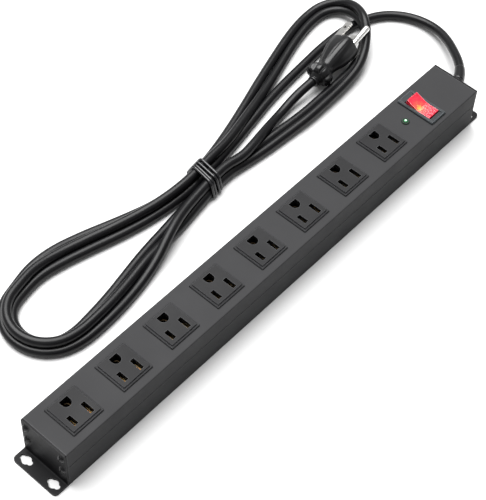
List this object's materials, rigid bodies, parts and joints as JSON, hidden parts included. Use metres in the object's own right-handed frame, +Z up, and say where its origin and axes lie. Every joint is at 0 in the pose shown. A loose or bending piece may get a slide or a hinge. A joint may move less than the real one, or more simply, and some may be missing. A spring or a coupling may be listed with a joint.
{
  "type": "power strip",
  "caption": "Long black metal power strip with grounded outlets, a lit red rocker switch, a green indicator, slotted end flanges and a tied mains lead with a moulded plug.",
  "frame": {"origin": "on the surface the strip stands on, under the middle of the casing", "axes": "+X along the strip to the end where the cord comes out, +Y across it to the side with the ground holes and the coiled cord, +Z up out of the outlet faces"},
  "size_m": [0.4767, 0.1616, 0.0403],
  "materials": {
    "shell": "fine satin black powder coat",
    "screw_steel": "black-zinc plated",
    "outlet_plastic": "fine-grained moulded",
    "brass": "pressed, bright",
    "pin_nickel": "nickel plated, polished",
    "tray_plastic": "moulded",
    "switch_plastic": "semi-gloss moulded",
    "rocker_red": "translucent, polished",
    "lamp_glow": "lit",
    "spring_steel": "plated",
    "led_holder": "moulded",
    "led_green": "lit",
    "board_green": "solder mask",
    "disc_blue": "dipped coating",
    "fuse_body": "ceramic tube",
    "capacitor_yellow": "moulded case",
    "wire_black": "insulation",
    "wire_white": "insulation",
    "wire_green": "insulation",
    "cord_sheath": "smooth, slightly shiny sheath",
    "tie_black": "thin wire tie, plastic coated",
    "moulded_black": "moulded, semi-matte"
  },
  "bodies": {
    "casing": {"top_cover": "shell", "base_channel": "shell", "end_bracket_near": "shell", "end_bracket_far": "shell", "end_screws_near": "screw_steel", "end_screws_far": "screw_steel", "board_screws": "screw_steel", "ground_screw": "screw_steel", "outlet_1": "outlet_plastic", "outlet_2": "outlet_plastic", "outlet_3": "outlet_plastic", "outlet_4": "outlet_plastic", "outlet_5": "outlet_plastic", "outlet_6": "outlet_plastic", "outlet_7": "outlet_plastic", "outlet_8": "outlet_plastic", "line_bus": "brass", "neutral_bus": "brass", "ground_bus": "brass", "switch_terminals": "brass", "plug_blade_line": "pin_nickel", "plug_blade_neutral": "pin_nickel", "plug_ground_pin": "pin_nickel", "bus_tray": "tray_plastic", "board_standoffs": "tray_plastic", "switch_frame": "switch_plastic", "led_legs": "spring_steel", "ground_ring": "spring_steel", "led_collar": "led_holder", "led_lens": "led_green", "surge_board": "board_green", "varistors": "disc_blue", "thermal_fuse": "fuse_body", "filter_capacitor": "capacitor_yellow", "wire_line_in": "wire_black", "wire_line_switched": "wire_black", "board_leads": "wire_black", "wire_neutral": "wire_white", "wire_ground": "wire_green", "wire_ground_bus": "wire_green", "cord_lead": "cord_sheath", "cord_hank": "cord_sheath", "cord_tail": "cord_sheath", "cord_tie": "tie_black", "cord_gland": "moulded_black", "cord_boot": "moulded_black", "plug_body": "moulded_black"},
    "rocker": {"switch_rocker": "rocker_red", "switch_lamp": "lamp_glow", "switch_spring": "spring_steel"},
    "plunger": {"switch_plunger": "tray_plastic"},
    "contact_lever": {"contact_lever": "brass"}
  },
  "joints": [
    {"name": "rocker_tilt", "type": "hinge", "parent": "casing", "child": "rocker", "pos_m": [0.1623, 0, 0.034], "axis": [1, 0, 0], "range_deg": [-22, 0]},
    {"name": "lever_tilt", "type": "hinge", "parent": "casing", "child": "contact_lever", "pos_m": [0.1623, 0, 0.023], "axis": [1, 0, 0], "range_deg": [0, 16]},
    {"name": "plunger_slide", "type": "slide", "parent": "rocker", "child": "plunger", "axis": [0, -0.1908, 0.9816], "range_m": [0, 0.0005], "stiffness_N_per_m": 400, "springref_m": -0.001, "deforming": ["switch_spring"]}
  ],
  "couplings": [
    {"joint": "lever_tilt", "follows": "rocker_tilt", "ratio": -0.72727}
  ]
}
